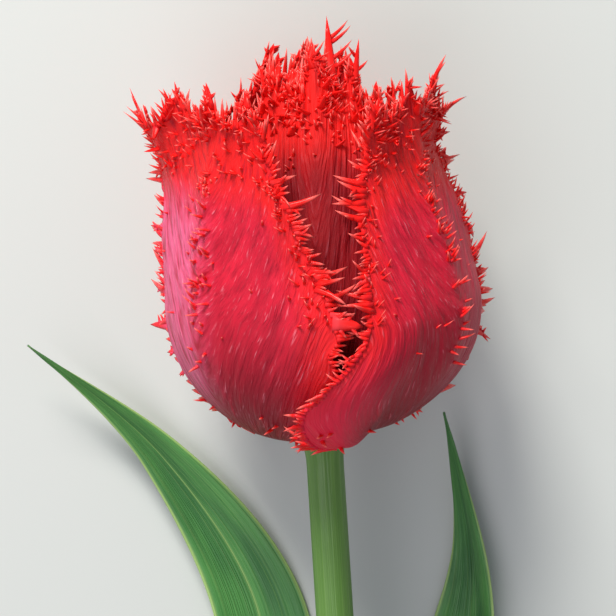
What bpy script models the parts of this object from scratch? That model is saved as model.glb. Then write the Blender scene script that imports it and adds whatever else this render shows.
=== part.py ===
"""A fringed tulip as a picked flower lying on a flat surface: bloom, stem and two leaves.

The stem runs along Y with the bloom at the +Y end, and +Z is up. A tepal is drawn in the bloom's own
frame: height along the bloom's axis, distance from it, and azimuth from the top side towards +X.
"""

import math
import random

import bpy
import bmesh
from mathutils import Matrix, Vector

MM = 0.001

# Where the bloom sits and how it lies
BLOOM_BASE = Vector((0.0, 0.0, 30.4)) * MM
BLOOM_PITCH = math.radians(5.5)
REST_SHIFT = Vector((13.5, 103.1, 0.0)) * MM

# Tepals
TEPAL_THICK = 0.7 * MM
TEPAL_COLUMNS = 14
TEPAL_ROWS = 16
CLAW_RADIUS = 5.45 * MM
BOWL_END = 0.40
BOWL_HEIGHT = 29.0 * MM
BOWL_FULLNESS = 1.1
LEAN_EASE = 0.20
CLAW_END = 0.13
MARGIN_CUTS = 2
TOOTH_LEAST = 1.3 * MM
TOOTH_MOST = 5.2 * MM
TOP_TOOTH_GAIN = 0.30
OUTGROWTH_LENGTH = 3.2 * MM
OUTGROWTH_ROOT = 0.62
KEEL_CHANCE = 0.42
BASE_CHANCE = 0.22
TOP_CHANCE = 0.11
FACE_CHANCE = 0.03
FRINGE_FROM_ROW = 0.13
BARE_RADIUS = 11.0 * MM
BARE_SHARE = 0.10
SURFACE_CLEARANCE = 1.2 * MM

# Stem and the seat at its top
STEM_LENGTH = 292.0 * MM
STEM_END_X = 18.0 * MM
STEM_RADIUS_TOP = 4.1 * MM
STEM_RADIUS_END = 4.5 * MM
STEM_SIDES = 14
STEM_RINGS = 22
SEAT_RADIUS = 4.8 * MM
SEAT_TOP = 5.4 * MM
SEAT_FLARE = 9.0 * MM

# Pistil and stamens
OVARY_RADIUS = 3.1 * MM
PISTIL_HEIGHT = 23.0 * MM
STIGMA_RADIUS = 4.3 * MM
STIGMA_ROUND = 1.3 * MM
STAMEN_COUNT = 6
STAMEN_RING = 4.25 * MM
STAMEN_HEIGHT = 24.0 * MM
STAMEN_LEAN = math.radians(17.0)
FILAMENT_RADIUS = 0.62 * MM
ANTHER_RADIUS = 1.35 * MM
SEAT_GAP = 0.3 * MM

# Leaves
LEAF_THICK = 0.9 * MM
LEAF_COLUMNS = 8
LEAF_ROWS = 30
LEAF_STEM_GAP = 0.4 * MM
LEAF_TIP = 0.32 * MM
SHEATH_RADIUS = STEM_RADIUS_END + LEAF_STEM_GAP + LEAF_THICK
BLADE_CURL = 0.55

AXIS = Vector((0.0, math.cos(BLOOM_PITCH), math.sin(BLOOM_PITCH)))
TOPWARD = Vector((0.0, -math.sin(BLOOM_PITCH), math.cos(BLOOM_PITCH)))
SIDEWARD = Vector((1.0, 0.0, 0.0))


def smooth(edge0, edge1, value):
    """0 below edge0, 1 above edge1, an even S between them."""
    x = min(1.0, max(0.0, (value - edge0) / (edge1 - edge0)))
    return x * x * (3.0 - 2.0 * x)


def bloom_point(azimuth, radius, height):
    across = SIDEWARD * math.sin(azimuth) + TOPWARD * math.cos(azimuth)
    return BLOOM_BASE + across * radius + AXIS * height


class Tepal:
    """One tepal's form: a bowl from the claw outward and up, then a wall that leans and curls at the tip."""

    def __init__(self, azimuth, radius, height, floor, **more):
        self.azimuth = math.radians(azimuth)
        self.radius = radius * MM
        self.height = height * MM
        self.floor = floor * MM
        self.claw_rise = more.get("claw_rise", 3.6) * MM
        self.lean = more.get("lean", 2.0) * MM
        self.curl = more.get("curl", 3.0) * MM
        self.span_left = math.radians(more.get("span_left", 54.0))
        self.span_right = math.radians(more.get("span_right", 54.0))
        self.top_left = more.get("top_left", 0.48)
        self.top_right = more.get("top_right", 0.48)
        self.close_left = more.get("close_left", 2.3)
        self.close_right = more.get("close_right", 2.3)
        self.top_round = more.get("top_round", 5.0) * MM
        self.lean_power = more.get("lean_power", 2.0)
        self.twist = math.radians(more.get("twist", 0.0))
        self.turret = more.get("turret", 3.0) * MM
        self.turret_beat = more.get("turret_beat", 9.0)
        self.turret_phase = more.get("turret_phase", 0.0)
        self.flare_left = more.get("flare_left", 0.6) * MM
        self.flare_right = more.get("flare_right", 0.6) * MM
        self.corner_curl = more.get("corner_curl", 0.0) * MM
        self.lobe = more.get("lobe", 0.0)
        self.lobe_lift = more.get("lobe_lift", 0.0) * MM
        self.wave = more.get("wave", 0.7) * MM
        self.tooth_turn = more.get("tooth_turn", 1.0)
        self.phase = more.get("phase", 0.0)
        self.seed = more.get("seed", 1)

    def profile(self, t):
        """(radius, height) of the outer face's middle line."""
        if t < BOWL_END:
            turn = 0.5 * math.pi * t / BOWL_END
            radius = CLAW_RADIUS + (self.radius - CLAW_RADIUS) * math.sin(turn) ** BOWL_FULLNESS
            height = self.floor + (BOWL_HEIGHT - self.floor) * (1.0 - math.cos(turn))
            claw = max(0.0, 1.0 - t / CLAW_END)
            return radius, height + self.claw_rise * claw * claw
        x = (t - BOWL_END) / (1.0 - BOWL_END)
        eased = (math.hypot(x, LEAN_EASE) - LEAN_EASE) / (math.hypot(1.0, LEAN_EASE) - LEAN_EASE)
        radius = self.radius - self.lean * eased**self.lean_power + self.curl * x**6
        return radius, BOWL_HEIGHT + (self.height - BOWL_HEIGHT) * x

    def half_span(self, side, t):
        """Angle from the middle line to the margin."""
        widest = self.span_left if side < 0 else self.span_right
        opening = 0.40 + 0.60 * smooth(0.0, 0.20, t)
        x = max(0.0, (t - 0.42) / 0.58)
        top = self.top_left if side < 0 else self.top_right
        power = self.close_left if side < 0 else self.close_right
        closing = 1.0 - (1.0 - top) * x**power
        angle = widest * opening * closing
        if side < 0:
            angle += self.lobe * smooth(0.06, 0.15, t) * (1.0 - smooth(0.22, 0.40, t))
        return angle

    def lift(self, s, t):
        """Distance out from the profile: flared margins, waves, the keel and the rolled lobe."""
        edge = abs(s)
        flare = self.flare_left if s < 0 else self.flare_right
        grown = smooth(0.10, 0.35, t)
        out = flare * edge**2.5 * grown
        out += self.wave * edge**2 * grown * math.sin(15.0 * t + self.phase + 2.2 * s)
        out += 0.6 * self.wave * smooth(0.5, 1.0, t) * math.sin(7.0 * s + self.phase)
        out += 0.5 * MM * math.exp(-((s / 0.16) ** 2)) * grown
        if s < 0:
            along_lobe = smooth(0.06, 0.14, t) * (1.0 - smooth(0.28, 0.46, t))
            out += self.lobe_lift * smooth(0.30, 0.78, edge) * along_lobe
            out += self.corner_curl * smooth(0.35, 1.0, edge) * smooth(0.66, 0.98, t)
        return out

    def point(self, s, t):
        radius, height = self.profile(t)
        step = 0.004
        r0, h0 = self.profile(max(0.0, t - step))
        r1, h1 = self.profile(min(1.0, t + step))
        length = math.hypot(r1 - r0, h1 - h0)
        out = self.lift(s, t)
        radius += out * (h1 - h0) / length
        height -= out * (r1 - r0) / length
        height -= self.top_round * s * s * smooth(0.70, 1.0, t)
        beat = 0.5 + 0.5 * math.cos(self.turret_beat * s + self.turret_phase)
        height += self.turret * beat**3 * smooth(0.84, 1.0, t)
        azimuth = self.azimuth + self.twist * t + s * self.half_span(s, t)
        return bloom_point(azimuth, radius, height)


TEPALS = {
    "tepal_outer_left": Tepal(
        -53.0, 34.0, 70.0, -2.6, claw_rise=3.6, lean=3.6, lean_power=1.4, curl=3.0, span_left=44.0,
        span_right=55.0, twist=8.0, top_left=0.76, top_right=0.40, close_right=0.95, top_round=0.5,
        turret=4.5, turret_beat=9.5, turret_phase=-1.2, flare_left=0.6, flare_right=0.7, corner_curl=4.4,
        phase=0.4, seed=11,
    ),
    "tepal_outer_right": Tepal(
        57.0, 34.4, 72.0, -0.6, claw_rise=1.8, lean=15.0, lean_power=0.90, curl=5.2,
        span_left=42.0, span_right=40.0, top_left=0.80, top_right=0.84, top_round=3.0, turret=4.5,
        turret_beat=8.5, turret_phase=2.2, flare_left=0.9, flare_right=1.2, lobe=0.42, lobe_lift=3.8,
        phase=2.3, seed=23,
    ),
    "tepal_outer_back": Tepal(
        187.0, 34.0, 75.0, -2.6, claw_rise=3.6, lean=8.0, curl=1.0, span_left=48.0, span_right=48.0,
        top_left=0.58, top_right=0.58, top_round=5.0, turret=5.5, phase=4.0, seed=37,
    ),
    "tepal_inner_front": Tepal(
        -3.0, 27.4, 78.0, 2.0, claw_rise=2.6, lean=10.0, lean_power=1.0, curl=-1.5, span_left=50.0,
        span_right=45.0, top_left=0.82, top_right=0.78, close_left=3.0, close_right=3.0, top_round=7.0,
        turret=5.0, turret_beat=8.0, turret_phase=0.6, tooth_turn=-1.0, phase=1.2, seed=41,
    ),
    "tepal_inner_left": Tepal(
        -121.0, 28.4, 66.0, 2.0, claw_rise=2.6, lean=9.0, curl=1.0, span_left=46.0, span_right=46.0,
        top_left=0.60, top_right=0.60, turret=4.5, phase=3.1, seed=53,
    ),
    "tepal_inner_right": Tepal(
        120.0, 28.0, 69.0, 2.0, claw_rise=2.6, lean=11.0, lean_power=1.1, curl=0.8, span_left=40.0,
        span_right=46.0, top_left=0.60, top_right=0.60, turret=4.5, phase=5.0, seed=67,
    ),
}


def by_place(point):
    """A sorting key, so that seeded choices fall on the same faces in every run."""
    return [round(value * 1.0e7) for value in point]


def in_order(elements, place):
    """Numbers a mesh's points or faces by where they are."""
    ordered = sorted(elements, key=lambda item: by_place(place(item)))
    ranks = {item: rank for rank, item in enumerate(ordered)}
    elements.sort(key=lambda item: ranks[item])


def new_node(name, bm, material):
    """Closes off a mesh as a named node, moved so the whole flower's box is centred on the origin."""
    bmesh.ops.recalc_face_normals(bm, faces=bm.faces)
    if bm.calc_volume(signed=True) < 0.0:
        bmesh.ops.reverse_faces(bm, faces=bm.faces)
    in_order(bm.verts, lambda vert: vert.co)
    in_order(bm.faces, lambda face: face.calc_center_median())
    mesh = bpy.data.meshes.new(name)
    bm.to_mesh(mesh)
    bm.free()
    node = bpy.data.objects.new(name, mesh)
    node.location = REST_SHIFT
    mesh.materials.append(material)
    bpy.context.scene.collection.objects.link(node)
    return node


def plain_material(name, colour, roughness):
    material = bpy.data.materials.new(name)
    material.use_nodes = True
    shader = material.node_tree.nodes["Principled BSDF"]
    shader.inputs["Base Color"].default_value = (*colour, 1.0)
    shader.inputs["Roughness"].default_value = roughness
    return material


def blade(columns, rows, cuts, cut_from, place, inward, thick):
    """A closed sheet: a grid laid out by place(s, t) as its outer face, thickened to the other side.

    The edges of the margin above cut_from are cut first, so that each short stretch can carry a tooth,
    and the sheet is split into triangles before it is thickened, so both faces are split alike.
    """
    bm = bmesh.new()
    bmesh.ops.create_grid(bm, x_segments=columns, y_segments=rows, size=1.0)
    margin = [
        edge for edge in bm.edges
        if edge.is_boundary and max(v.co.y for v in edge.verts) > 2.0 * cut_from - 1.0
    ]
    if cuts:
        bmesh.ops.subdivide_edges(bm, edges=margin, cuts=cuts)
    for vert in bm.verts:
        vert.co = place(vert.co.x, 0.5 + 0.5 * vert.co.y)
        vert.co.z = max(vert.co.z, 0.0)
    bmesh.ops.triangulate(bm, faces=bm.faces, quad_method="BEAUTY", ngon_method="BEAUTY")
    bmesh.ops.recalc_face_normals(bm, faces=bm.faces)
    agreement = sum(face.normal.dot(inward(face.calc_center_median())) for face in bm.faces)
    side = 1.0 if agreement > 0.0 else -1.0
    offsets = {vert.co.copy().freeze(): vert.normal * side * thick for vert in bm.verts}
    grown = bmesh.ops.extrude_face_region(bm, geom=bm.faces[:], use_keep_orig=True)["geom"]
    for vert in grown:
        if isinstance(vert, bmesh.types.BMVert):
            vert.co += offsets[vert.co.copy().freeze()]
    bmesh.ops.recalc_face_normals(bm, faces=bm.faces)
    return bm


def to_axis(point):
    """From a point of the bloom straight to its axis."""
    offset = point - BLOOM_BASE
    return -(offset - AXIS * offset.dot(AXIS))


def fringe(bm, form, rng):
    """Raises a tooth from each short stretch of the margin above the claw, long ones between short ones."""
    walls = [face for face in bm.faces if len(face.verts) == 4]
    walls.sort(key=lambda face: by_place(face.calc_center_median()))
    for wall in walls:
        centre = wall.calc_center_median()
        height = (centre - BLOOM_BASE).dot(AXIS)
        radial = -to_axis(centre).normalized()
        outward = wall.normal.copy()
        poked = bmesh.ops.poke(bm, faces=[wall])
        tip = poked["verts"][0]
        if to_axis(centre).length < BARE_RADIUS or rng.random() < BARE_SHARE:
            continue
        share = rng.random()
        length = TOOTH_LEAST + (TOOTH_MOST - TOOTH_LEAST) * share**1.8
        length *= 0.60 + 0.40 * smooth(4.0 * MM, 40.0 * MM, height)
        length *= 1.0 + TOP_TOOTH_GAIN * smooth(0.82, 1.0, height / form.height)
        wander = 0.30 * math.sin(height / (4.0 * MM) + form.phase) + rng.uniform(-0.10, 0.10)
        bend = radial * form.tooth_turn * rng.uniform(-0.05, 0.38) + AXIS * (0.16 + wander)
        tip.co = centre + (outward + bend).normalized() * length
        tip.co.z = max(tip.co.z, SURFACE_CLEARANCE)


def outgrowths(bm, form, rng):
    """Raises small teeth from the outer face, along the keel and thinly near the upper margins."""
    chosen = []
    for face in sorted(bm.faces, key=lambda face: by_place(face.calc_center_median())):
        centre = face.calc_center_median()
        radial = -to_axis(centre).normalized()
        height = (centre - BLOOM_BASE).dot(AXIS)
        if len(face.verts) != 3 or face.normal.dot(radial) < 0.5 or centre.z < 6.0 * MM:
            continue
        azimuth = math.atan2(radial.dot(SIDEWARD), radial.dot(TOPWARD))
        off = (azimuth - form.azimuth + math.pi) % (2.0 * math.pi) - math.pi
        share = abs(off) / form.half_span(off, 0.5)
        on_keel = share < 0.10 and 4.0 * MM < height < 0.80 * form.height
        near_top = height > 0.62 * form.height and share < 0.75
        near_base = height < 8.0 * MM and to_axis(centre).length > BARE_RADIUS
        chance = TOP_CHANCE if near_top else FACE_CHANCE
        if near_base:
            chance = BASE_CHANCE
        if on_keel:
            chance = KEEL_CHANCE
        if rng.random() < chance:
            chosen.append((face, radial))
    for face, radial in chosen:
        area = face.calc_area()
        around = sum(edge.calc_length() for edge in face.edges)
        bmesh.ops.inset_individual(bm, faces=[face], thickness=OUTGROWTH_ROOT * 2.0 * area / around)
        poked = bmesh.ops.poke(bm, faces=[face])
        tip = poked["verts"][0]
        sideways = AXIS.cross(radial) * rng.uniform(-0.5, 0.5)
        direction = radial + AXIS * rng.uniform(0.1, 0.7) + sideways
        tip.co += direction.normalized() * OUTGROWTH_LENGTH * rng.uniform(0.55, 1.0)
    bmesh.ops.triangulate(bm, faces=[face for face in bm.faces if len(face.verts) > 3])


def make_tepal(name, form, material):
    rng = random.Random(form.seed)
    bm = blade(TEPAL_COLUMNS, TEPAL_ROWS, MARGIN_CUTS, FRINGE_FROM_ROW, form.point, to_axis, TEPAL_THICK)
    outgrowths_rng = random.Random(form.seed + 1)
    fringe(bm, form, rng)
    if "outer" in name:
        outgrowths(bm, form, outgrowths_rng)
    return new_node(name, bm, material)


def bezier(points, t):
    """Point and direction at t on a cubic curve."""
    a, b, c, d = points
    u = 1.0 - t
    place = a * u**3 + b * (3.0 * u * u * t) + c * (3.0 * u * t * t) + d * t**3
    slope = (b - a) * (3.0 * u * u) + (c - b) * (6.0 * u * t) + (d - c) * (3.0 * t * t)
    return place, slope.normalized()


def tube(stations, sides, section=None):
    """A closed round body through (centre, direction, radius) stations; section(angle, share) scales it."""
    bm = bmesh.new()
    loops = []
    last = len(stations) - 1
    for index, (centre, direction, radius) in enumerate(stations):
        across = direction.cross(Vector((0.0, 0.0, 1.0))).normalized()
        below = direction.cross(across).normalized()
        turn = Matrix((across, below, direction)).transposed().to_4x4()
        ring = bmesh.ops.create_circle(
            bm, cap_ends=index in (0, last), radius=1.0, segments=sides, matrix=Matrix.Identity(4)
        )["verts"]
        for vert in ring:
            angle = math.atan2(vert.co.y, vert.co.x)
            scale = radius * (section(angle, index / last) if section else 1.0)
            vert.co = centre + turn @ Vector((math.cos(angle), math.sin(angle), 0.0)) * scale
            vert.co.z = max(vert.co.z, 0.0)
        loops.append({edge for vert in ring for edge in vert.link_edges})
    for lower, upper in zip(loops, loops[1:]):
        bmesh.ops.bridge_loops(bm, edges=list(lower) + list(upper))
    bmesh.ops.triangulate(bm, faces=bm.faces)
    return bm


def stem_line():
    """The stem's middle line from the seat's top down to the cut end."""
    top = BLOOM_BASE + AXIS * SEAT_TOP
    end = Vector((STEM_END_X, -STEM_LENGTH, STEM_RADIUS_END - 0.05 * MM))
    third = 0.34 * STEM_LENGTH
    leaving = Vector((STEM_END_X / STEM_LENGTH, 0.0, 0.0)) - AXIS
    return top, top + leaving * third, end + Vector((-0.05, 0.99, 0.05)) * third, end


def make_stem(material):
    line = stem_line()
    stations = []
    for ring in range(STEM_RINGS):
        share = ring / (STEM_RINGS - 1)
        t = share**1.6
        centre, direction = bezier(line, t)
        down = (centre - line[0]).length
        radius = STEM_RADIUS_TOP + (STEM_RADIUS_END - STEM_RADIUS_TOP) * t
        radius += (SEAT_RADIUS - STEM_RADIUS_TOP) * (1.0 - smooth(0.75 * SEAT_FLARE, 1.5 * SEAT_FLARE, down))
        stations.append((centre, direction, radius))
    return new_node("stem", tube(stations, STEM_SIDES), material)


def upright_stations(base, direction, outline):
    """Stations along a straight line for an outline of (share of height, radius)."""
    return [(base + direction * height, direction, radius) for height, radius in outline]


def make_pistil(material):
    base = BLOOM_BASE + AXIS * (SEAT_TOP + SEAT_GAP)
    outline = []
    for step in range(12):
        share = step / 11.0
        belly = OVARY_RADIUS * (0.80 + 0.20 * math.sin(math.pi * min(1.0, share / 0.7)))
        mouth = (STIGMA_RADIUS - OVARY_RADIUS) * smooth(0.72, 0.88, share)
        mouth -= STIGMA_ROUND * smooth(0.90, 1.0, share)
        outline.append((share * PISTIL_HEIGHT, belly + mouth))

    def three_lobes(angle, share):
        return 1.0 + (0.05 + 0.22 * smooth(0.70, 0.90, share)) * math.cos(3.0 * angle)

    return new_node("pistil", tube(upright_stations(base, AXIS, outline), 12, three_lobes), material)


def make_stamen(number, material):
    azimuth = math.radians(30.0 + 360.0 / STAMEN_COUNT * number)
    out = SIDEWARD * math.sin(azimuth) + TOPWARD * math.cos(azimuth)
    base = BLOOM_BASE + AXIS * (SEAT_TOP + SEAT_GAP) + out * STAMEN_RING
    direction = (AXIS * math.cos(STAMEN_LEAN) + out * math.sin(STAMEN_LEAN)).normalized()
    base += direction * (FILAMENT_RADIUS * math.sin(STAMEN_LEAN))
    outline = []
    for step in range(10):
        share = step / 9.0
        swell = smooth(0.40, 0.50, share) * (1.0 - 0.55 * smooth(0.86, 1.0, share))
        outline.append((share * STAMEN_HEIGHT, FILAMENT_RADIUS + (ANTHER_RADIUS - FILAMENT_RADIUS) * swell))
    stations = upright_stations(base, direction, outline)
    return new_node(f"stamen_{number + 1}", tube(stations, 8), material)


class Leaf:
    """One leaf: a sheath round the stem that opens into a blade folded along its midrib."""

    def __init__(self, side, from_stem, way, widest, sheath, roll, fold, phase):
        self.side = side
        self.from_stem = from_stem
        self.way = [Vector(point) * MM for point in way]
        self.widest = widest * MM
        self.sheath = sheath
        self.roll = roll
        self.fold = fold
        self.phase = phase

    def midrib(self, t):
        """A smooth line through the way points, leaving along the stem."""
        centre, direction = bezier(stem_line(), self.from_stem)
        start = centre + Vector((self.side, 0.0, 0.0)) * SHEATH_RADIUS
        out = Vector((self.side, 0.0, 0.0))
        opening = start - direction * 22.0 * MM + out * 1.5 * MM
        clear = start - direction * 44.0 * MM + out * 6.5 * MM
        knots = [start + direction * 25.0 * MM, start, opening, clear] + self.way
        x = t * (len(knots) - 2.0001)
        index = int(x)
        p0, p1, p2 = knots[index], knots[index + 1], knots[min(index + 2, len(knots) - 1)]
        p3 = knots[min(index + 3, len(knots) - 1)]
        f = x - index
        m1 = (p2 - p0) * 0.5
        m2 = (p3 - p1) * 0.5
        return (
            p1 * (2 * f**3 - 3 * f**2 + 1) + m1 * (f**3 - 2 * f**2 + f)
            + p2 * (3 * f**2 - 2 * f**3) + m2 * (f**3 - f**2)
        )

    def frame(self, t):
        centre = self.midrib(t)
        ahead = (self.midrib(min(1.0, t + 0.01)) - self.midrib(max(0.0, t - 0.01))).normalized()
        to_stem = Vector((-self.side, 0.0, 0.0))
        opened = smooth(0.16, 0.50, t)
        face = to_stem * (1.0 - opened) + Vector((-self.side * self.roll, 0.0, 1.0)) * opened
        face = (face - ahead * face.dot(ahead)).normalized()
        return centre, face, ahead.cross(face)

    def point(self, s, t):
        """On the outer face: an arc round the stem at the sheath, a shallow fold further on."""
        centre, face, across = self.frame(t)
        opened = smooth(0.04, 0.40, t)
        taper = 1.0 - smooth(0.60, 1.04, t) ** 1.3
        blade_width = self.widest * (0.80 + 0.20 * smooth(0.20, 0.50, t)) * taper
        width = SHEATH_RADIUS * self.sheath * (1.0 - opened) + max(blade_width, LEAF_TIP) * opened
        radius = SHEATH_RADIUS * (1.0 - opened) + self.widest / BLADE_CURL * opened
        angle = s * width / radius
        wave = 0.8 * MM * math.sin(16.0 * t + self.phase) * s * s * opened
        fold = self.fold * width * abs(s) * opened
        depth = radius * (1.0 - math.cos(angle)) + wave + fold
        return centre + across * radius * math.sin(angle) + face * depth


LEAVES = {
    "leaf_lower": Leaf(
        -1.0, 0.74,
        [
            (-12.0, -128.0, 3.5),
            (-12.5, -88.0, -0.2),
            (-15.0, -46.0, 0.6),
            (-37.0, -10.0, 4.0),
            (-66.0, 16.0, 13.0),
        ],
        12.5, 1.45, 0.25, 0.08, 0.5,
    ),
    "leaf_upper": Leaf(
        1.0, 0.50, [(26.0, -84.0, 3.0), (33.5, -60.0, -0.2), (35.0, -34.0, 2.0), (27.8, 0.2, 9.0)],
        9.5, 1.45, 0.45, 0.30, 2.0,
    ),
}


def make_leaf(name, form, material):
    def inward(point):
        nearest = min((step / 40.0 for step in range(41)), key=lambda t: (form.midrib(t) - point).length)
        return form.frame(nearest)[1]

    bm = blade(LEAF_COLUMNS, LEAF_ROWS, 0, 0.0, form.point, inward, LEAF_THICK)
    bmesh.ops.triangulate(bm, faces=[face for face in bm.faces if len(face.verts) > 3])
    return new_node(name, bm, material)


def build():
    for item in list(bpy.data.objects):
        bpy.data.objects.remove(item, do_unlink=True)
    red = plain_material("crimson_tepal", (0.62, 0.018, 0.045), 0.42)
    deep = plain_material("deep_red_tepal", (0.50, 0.010, 0.024), 0.45)
    stem_green = plain_material("stem_green", (0.17, 0.33, 0.09), 0.45)
    leaf_green = plain_material("leaf_green", (0.10, 0.27, 0.09), 0.50)
    pale_green = plain_material("pistil_green", (0.45, 0.50, 0.18), 0.50)
    dark = plain_material("stamen_dark", (0.045, 0.012, 0.030), 0.65)
    for name, form in TEPALS.items():
        make_tepal(name, form, red if "outer" in name else deep)
    make_stem(stem_green)
    make_pistil(pale_green)
    for number in range(STAMEN_COUNT):
        make_stamen(number, dark)
    for name, form in LEAVES.items():
        make_leaf(name, form, leaf_green)


build()
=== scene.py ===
"""Looks of a fringed tulip on a pale surface: fine tepals with fringes, stem, leaves, pistil and stamens."""

import math
import random

import bmesh
import bpy
from mathutils import Matrix, Vector, noise


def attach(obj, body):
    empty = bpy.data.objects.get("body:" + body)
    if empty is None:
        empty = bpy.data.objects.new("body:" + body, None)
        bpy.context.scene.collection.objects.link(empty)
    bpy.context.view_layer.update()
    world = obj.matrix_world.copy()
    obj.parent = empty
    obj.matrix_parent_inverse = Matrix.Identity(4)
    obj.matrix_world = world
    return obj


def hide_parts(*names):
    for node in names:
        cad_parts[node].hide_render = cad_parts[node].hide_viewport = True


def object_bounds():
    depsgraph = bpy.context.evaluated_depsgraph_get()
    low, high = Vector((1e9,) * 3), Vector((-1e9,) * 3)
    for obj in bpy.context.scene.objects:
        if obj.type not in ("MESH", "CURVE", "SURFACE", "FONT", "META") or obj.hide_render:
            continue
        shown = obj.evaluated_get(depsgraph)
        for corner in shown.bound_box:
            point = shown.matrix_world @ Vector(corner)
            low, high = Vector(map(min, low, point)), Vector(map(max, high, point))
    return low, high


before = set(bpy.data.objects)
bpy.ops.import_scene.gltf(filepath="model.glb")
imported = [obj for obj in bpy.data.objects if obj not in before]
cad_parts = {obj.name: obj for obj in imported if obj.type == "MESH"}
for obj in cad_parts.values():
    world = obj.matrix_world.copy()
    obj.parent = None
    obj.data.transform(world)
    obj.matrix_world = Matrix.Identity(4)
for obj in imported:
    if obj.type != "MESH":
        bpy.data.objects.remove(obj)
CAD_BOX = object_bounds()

MM = 0.001

# Where the bloom sits, as in the solids
SHIFT = Vector((13.5, 103.1, 0.0)) * MM
BLOOM_BASE = Vector((0.0, 0.0, 30.4)) * MM + SHIFT
BLOOM_PITCH = math.radians(5.5)
AXIS = Vector((0.0, math.cos(BLOOM_PITCH), math.sin(BLOOM_PITCH)))
TOPWARD = Vector((0.0, -math.sin(BLOOM_PITCH), math.cos(BLOOM_PITCH)))
SIDEWARD = Vector((1.0, 0.0, 0.0))

# Tepals
TEPAL_THICK = 0.7 * MM
TEPAL_COLUMNS = 84
TEPAL_ROWS = 112
TEPAL_EDGE_THIN = 0.35
CLAW_RADIUS = 5.45 * MM
BOWL_END = 0.40
BOWL_HEIGHT = 29.0 * MM
BOWL_FULLNESS = 1.1
LEAN_EASE = 0.20
CLAW_END = 0.13
VEIN_SLOPE = 0.48
OUTER_SLOPE = 0.60
INNER_SLOPE = 1.60

# Fringe
TOOTH_LEAST = 1.3 * MM
TOOTH_MOST = 6.6 * MM
TOOTH_STEP = 1.05 * MM
SPARSE_STEP = 2.6 * MM
SPARSE_TOP = 0.72
TOOTH_SIDES = 6
TOOTH_RINGS = 4
TOOTH_TAPER = 0.62
TOOTH_FLATNESS = 0.72
LOBE_FLATNESS = 0.40
LOBE_TEETH = 4
FLAP_WIDTH = 1.05 * MM
# How deep a tooth's root is sunk into the sheet, in millimetres
MARGIN_ROOT = 1.0
LOBE_ROOT = 0.8
SURFACE_ROOT = 0.5
# Forks and counts
FORK_LEAST = 2.6 * MM
FORK_CHANCE = 0.5
KEEL_TEETH = 46
FACE_TEETH = 16
FOOT_TEETH = 12
MARGIN_FACE_TEETH = 90
SMALL_TOOTH = 0.42 * MM
LARGE_TOOTH = 0.58 * MM
BARE_RADIUS = 11.0 * MM
KEEL_CLUMPS = (0.34, 0.42, 0.50, 0.56, 0.64, 0.71, 0.80)
OUTGROWTH_LENGTH = 3.2 * MM

# Stem and the seat at its top
STEM_LENGTH = 292.0 * MM
STEM_END_X = 18.0 * MM
STEM_RADIUS_TOP = 4.1 * MM
STEM_RADIUS_END = 4.5 * MM
SEAT_RADIUS = 4.8 * MM
SEAT_TOP = 5.4 * MM
SEAT_FLARE = 9.0 * MM

# Pistil and stamens
OVARY_RADIUS = 3.1 * MM
PISTIL_HEIGHT = 23.0 * MM
STIGMA_RADIUS = 4.3 * MM
STIGMA_ROUND = 1.3 * MM
STAMEN_COUNT = 6
STAMEN_RING = 4.25 * MM
STAMEN_HEIGHT = 24.0 * MM
STAMEN_LEAN = math.radians(17.0)
FILAMENT_RADIUS = 0.62 * MM
ANTHER_RADIUS = 1.35 * MM
SEAT_GAP = 0.3 * MM

# Leaves
LEAF_THICK = 0.9 * MM
LEAF_STEM_GAP = 0.4 * MM
LEAF_TIP = 0.08 * MM
LEAF_TIP_THIN = 0.85
LEAF_COLUMNS = 40
LEAF_ROWS = 150
SHEATH_RADIUS = STEM_RADIUS_END + LEAF_STEM_GAP + LEAF_THICK
BLADE_CURL = 0.55

# Colours, linear
CRIMSON = (0.72, 0.013, 0.042)
CRIMSON_DEEP = (0.34, 0.004, 0.020)
# Colour of the painted lilac sheen
SHEEN_ROSE = (0.80, 0.125, 0.27)
SCARLET = (0.88, 0.013, 0.010)
# Colour of the painted highlight on the rolled margin
ROLLED_HIGHLIGHT_RED = (1.0, 0.025, 0.085)
# Colour of the painted shade on the lower tepals
SHADE_MAROON = (0.105, 0.002, 0.009)
# Colour of the painted highlights on the fringe's tips
TIP_HIGHLIGHT_PINK = (1.0, 0.26, 0.22)
# Colour of the painted highlights along the veins
HIGHLIGHT_PINK = (1.0, 0.32, 0.40)
# Inner tepal colours, darkened with painted shade for their place inside the bloom
INNER_SHADED_RED = (0.34, 0.006, 0.011)
INNER_SHADED_DEEP = (0.16, 0.003, 0.007)
LEAF_GREEN = (0.095, 0.32, 0.075)
LEAF_DARK = (0.036, 0.155, 0.040)
LEAF_PALE = (0.36, 0.55, 0.17)
STEM_GREEN = (0.10, 0.235, 0.036)
STEM_PALE = (0.20, 0.37, 0.085)
PISTIL_GREEN = (0.36, 0.42, 0.13)
STIGMA_CREAM = (0.62, 0.55, 0.25)
ANTHER_DARK = (0.030, 0.008, 0.022)
FILAMENT_DARK = (0.09, 0.010, 0.030)
CUT_PALE = (0.50, 0.56, 0.30)
PISTIL_GRAIN = (0.75, 0.75, 0.45)
POLLEN = (0.12, 0.05, 0.08)
FLOOR_GREY = (0.62, 0.65, 0.62)

# Camera: distance in metres, lens and aim in millimetres
CAMERA_DISTANCE = 0.6
CAMERA_LENS = 161.2
CAMERA_TILT = math.radians(11.0)
CAMERA_AIM_UP = 26.5
CAMERA_AIM_ASIDE = -2.93


def smooth(edge0, edge1, value):
    """0 below edge0, 1 above edge1, an even S between them."""
    x = min(1.0, max(0.0, (value - edge0) / (edge1 - edge0)))
    return x * x * (3.0 - 2.0 * x)


def bloom_point(azimuth, radius, height):
    across = SIDEWARD * math.sin(azimuth) + TOPWARD * math.cos(azimuth)
    return BLOOM_BASE + across * radius + AXIS * height


def to_axis(point):
    """From a point of the bloom straight to its axis."""
    offset = point - BLOOM_BASE
    return -(offset - AXIS * offset.dot(AXIS))


# Shader wiring


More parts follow.
